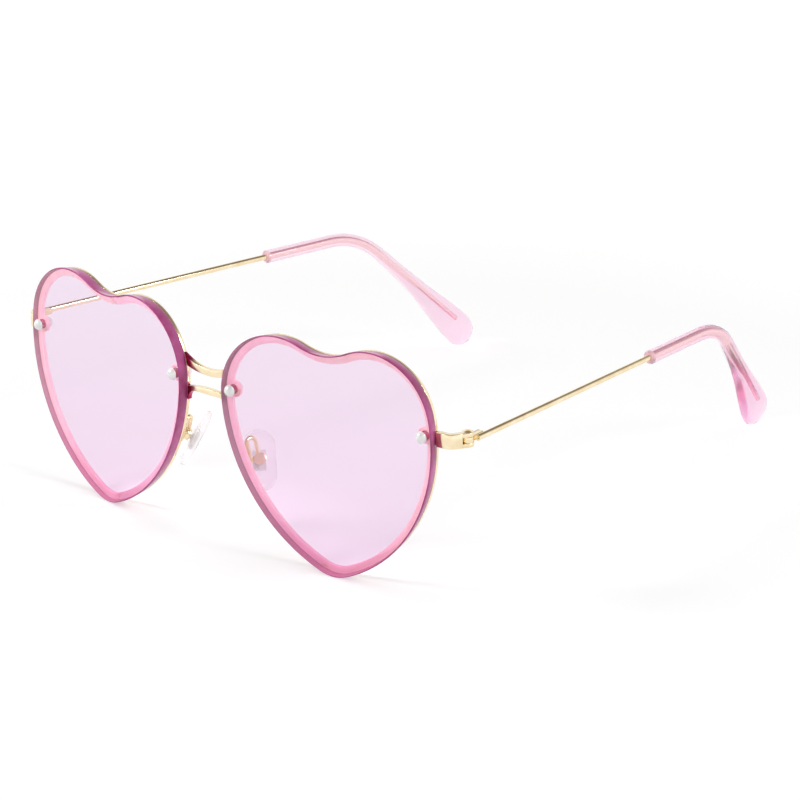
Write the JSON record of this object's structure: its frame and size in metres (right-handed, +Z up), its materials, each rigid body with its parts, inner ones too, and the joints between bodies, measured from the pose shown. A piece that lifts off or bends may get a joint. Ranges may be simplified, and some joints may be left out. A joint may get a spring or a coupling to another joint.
{
  "type": "sunglasses",
  "caption": "Rimless heart shaped sunglasses with tinted clear lenses, thin gold wire rims, double bridge, nose pads and folding wire temples.",
  "frame": {"origin": "on the ground under the middle of the front, in the mirror plane and level with the front faces of the lenses at their centres", "axes": "+X to the wearer's left, +Y back along the temples, +Z up; the front faces -Y and the temples are open"},
  "size_m": [0.141, 0.1497, 0.0554],
  "materials": {
    "clear_pink_lens": "clear acrylic with a pink to lilac tint, polished",
    "pale_gold_metal": "polished pale gold plating",
    "pearl_metal": "silvery pearl, polished",
    "crimson_bush": "deep crimson, clear",
    "clear_pink_tip": "clear with a pink tint, polished",
    "clear_pad": "clear, slightly milky"
  },
  "bodies": {
    "front": {"left_lens": "clear_pink_lens", "right_lens": "clear_pink_lens", "left_rim": "pale_gold_metal", "right_rim": "pale_gold_metal", "upper_bridge_bar": "pale_gold_metal", "lower_bridge_bar": "pale_gold_metal", "lens_studs": "pearl_metal", "lens_bushes": "crimson_bush", "cap_nuts": "pearl_metal", "left_end_piece": "pale_gold_metal", "right_end_piece": "pale_gold_metal", "left_front_leaf": "pale_gold_metal", "right_front_leaf": "pale_gold_metal", "hinge_screws": "pale_gold_metal", "left_pad_arm": "pale_gold_metal", "right_pad_arm": "pale_gold_metal", "left_pad_box": "pale_gold_metal", "right_pad_box": "pale_gold_metal", "pad_screws": "pale_gold_metal"},
    "left_temple": {"left_temple_leaf": "pale_gold_metal", "left_temple_wire": "pale_gold_metal", "left_temple_tip": "clear_pink_tip"},
    "right_temple": {"right_temple_leaf": "pale_gold_metal", "right_temple_wire": "pale_gold_metal", "right_temple_tip": "clear_pink_tip"},
    "left_pad": {"left_pad_insert": "pale_gold_metal", "left_nose_pad": "clear_pad"},
    "right_pad": {"right_pad_insert": "pale_gold_metal", "right_nose_pad": "clear_pad"}
  },
  "joints": [
    {"name": "left_temple_fold", "type": "hinge", "parent": "front", "child": "left_temple", "pos_m": [0.06862, 0.01034, 0.03785], "axis": [0, 0, 1], "range_deg": [0, 82]},
    {"name": "right_temple_fold", "type": "hinge", "parent": "front", "child": "right_temple", "pos_m": [-0.06862, 0.01034, 0.03785], "axis": [0, 0, -1], "range_deg": [0, 76]},
    {"name": "left_pad_rock", "type": "hinge", "parent": "front", "child": "left_pad", "pos_m": [0.01228, 0.00379, 0.0219], "axis": [0.6691, 0.7431, 0], "range_deg": [-8, 12]},
    {"name": "right_pad_rock", "type": "hinge", "parent": "front", "child": "right_pad", "pos_m": [-0.01228, 0.00379, 0.0219], "axis": [0.6691, -0.7431, 0], "range_deg": [-8, 12]}
  ]
}
